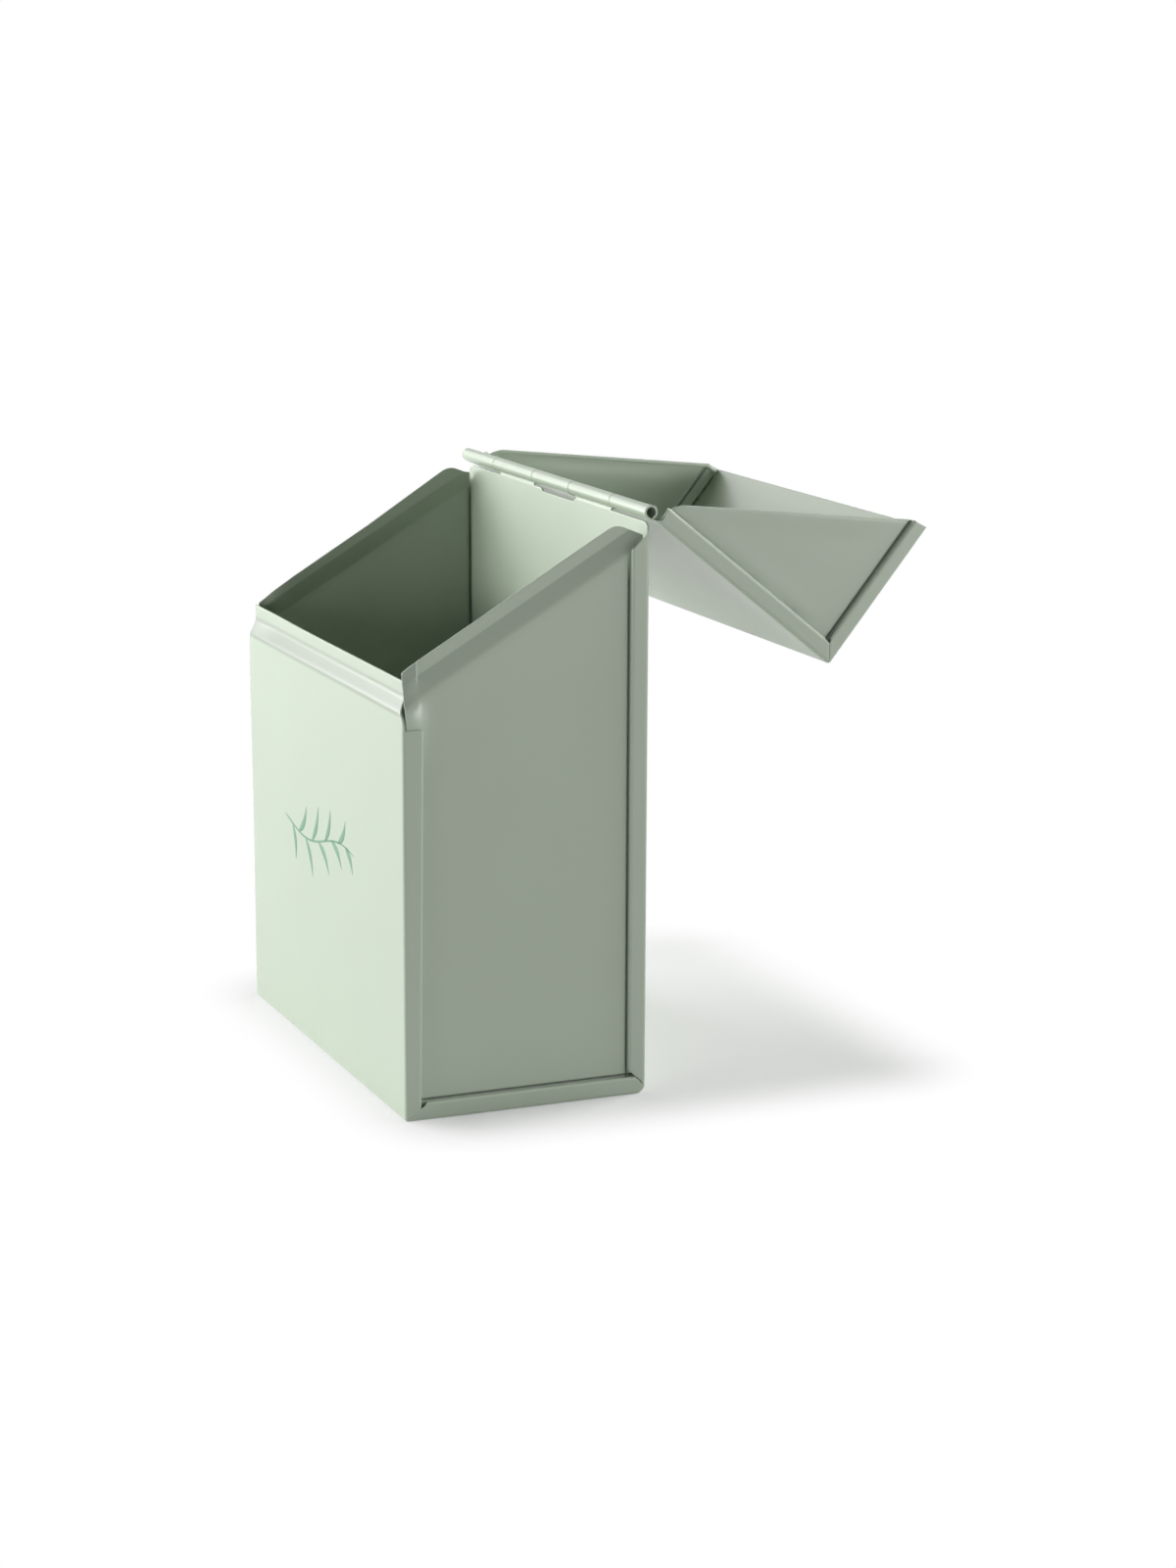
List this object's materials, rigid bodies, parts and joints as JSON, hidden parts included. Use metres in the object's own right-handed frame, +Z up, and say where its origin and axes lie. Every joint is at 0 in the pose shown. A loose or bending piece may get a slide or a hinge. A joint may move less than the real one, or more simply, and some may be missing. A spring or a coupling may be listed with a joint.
{
  "type": "garden seed organizer box",
  "caption": "Painted sheet-steel box with slanted sides, an inset rim and a three-sided lid on a rolled knuckle hinge, for keeping seed packets upright.",
  "frame": {"origin": "centre of the box's underside, on the surface that it stands on", "axes": "+Z up, -Y towards the low front, +Y towards the hinge, +X along the width to the right seen from the front"},
  "size_m": [0.1632, 0.1831, 0.1951],
  "materials": {
    "enamel": "pale sage enamel, satin to gloss",
    "wire": "plain drawn wire"
  },
  "bodies": {
    "box": {"body_sheet": "enamel", "side_panel_right": "enamel", "side_panel_left": "enamel", "hinge_pin": "wire"},
    "lid": {"lid_sheet": "enamel", "lid_gusset_right": "enamel", "lid_gusset_left": "enamel"}
  },
  "joints": [
    {"name": "lid_hinge", "type": "hinge", "parent": "box", "child": "lid", "pos_m": [0, 0.0417, 0.19288], "axis": [1, 0, 0], "range_deg": [0, 219.6]}
  ]
}
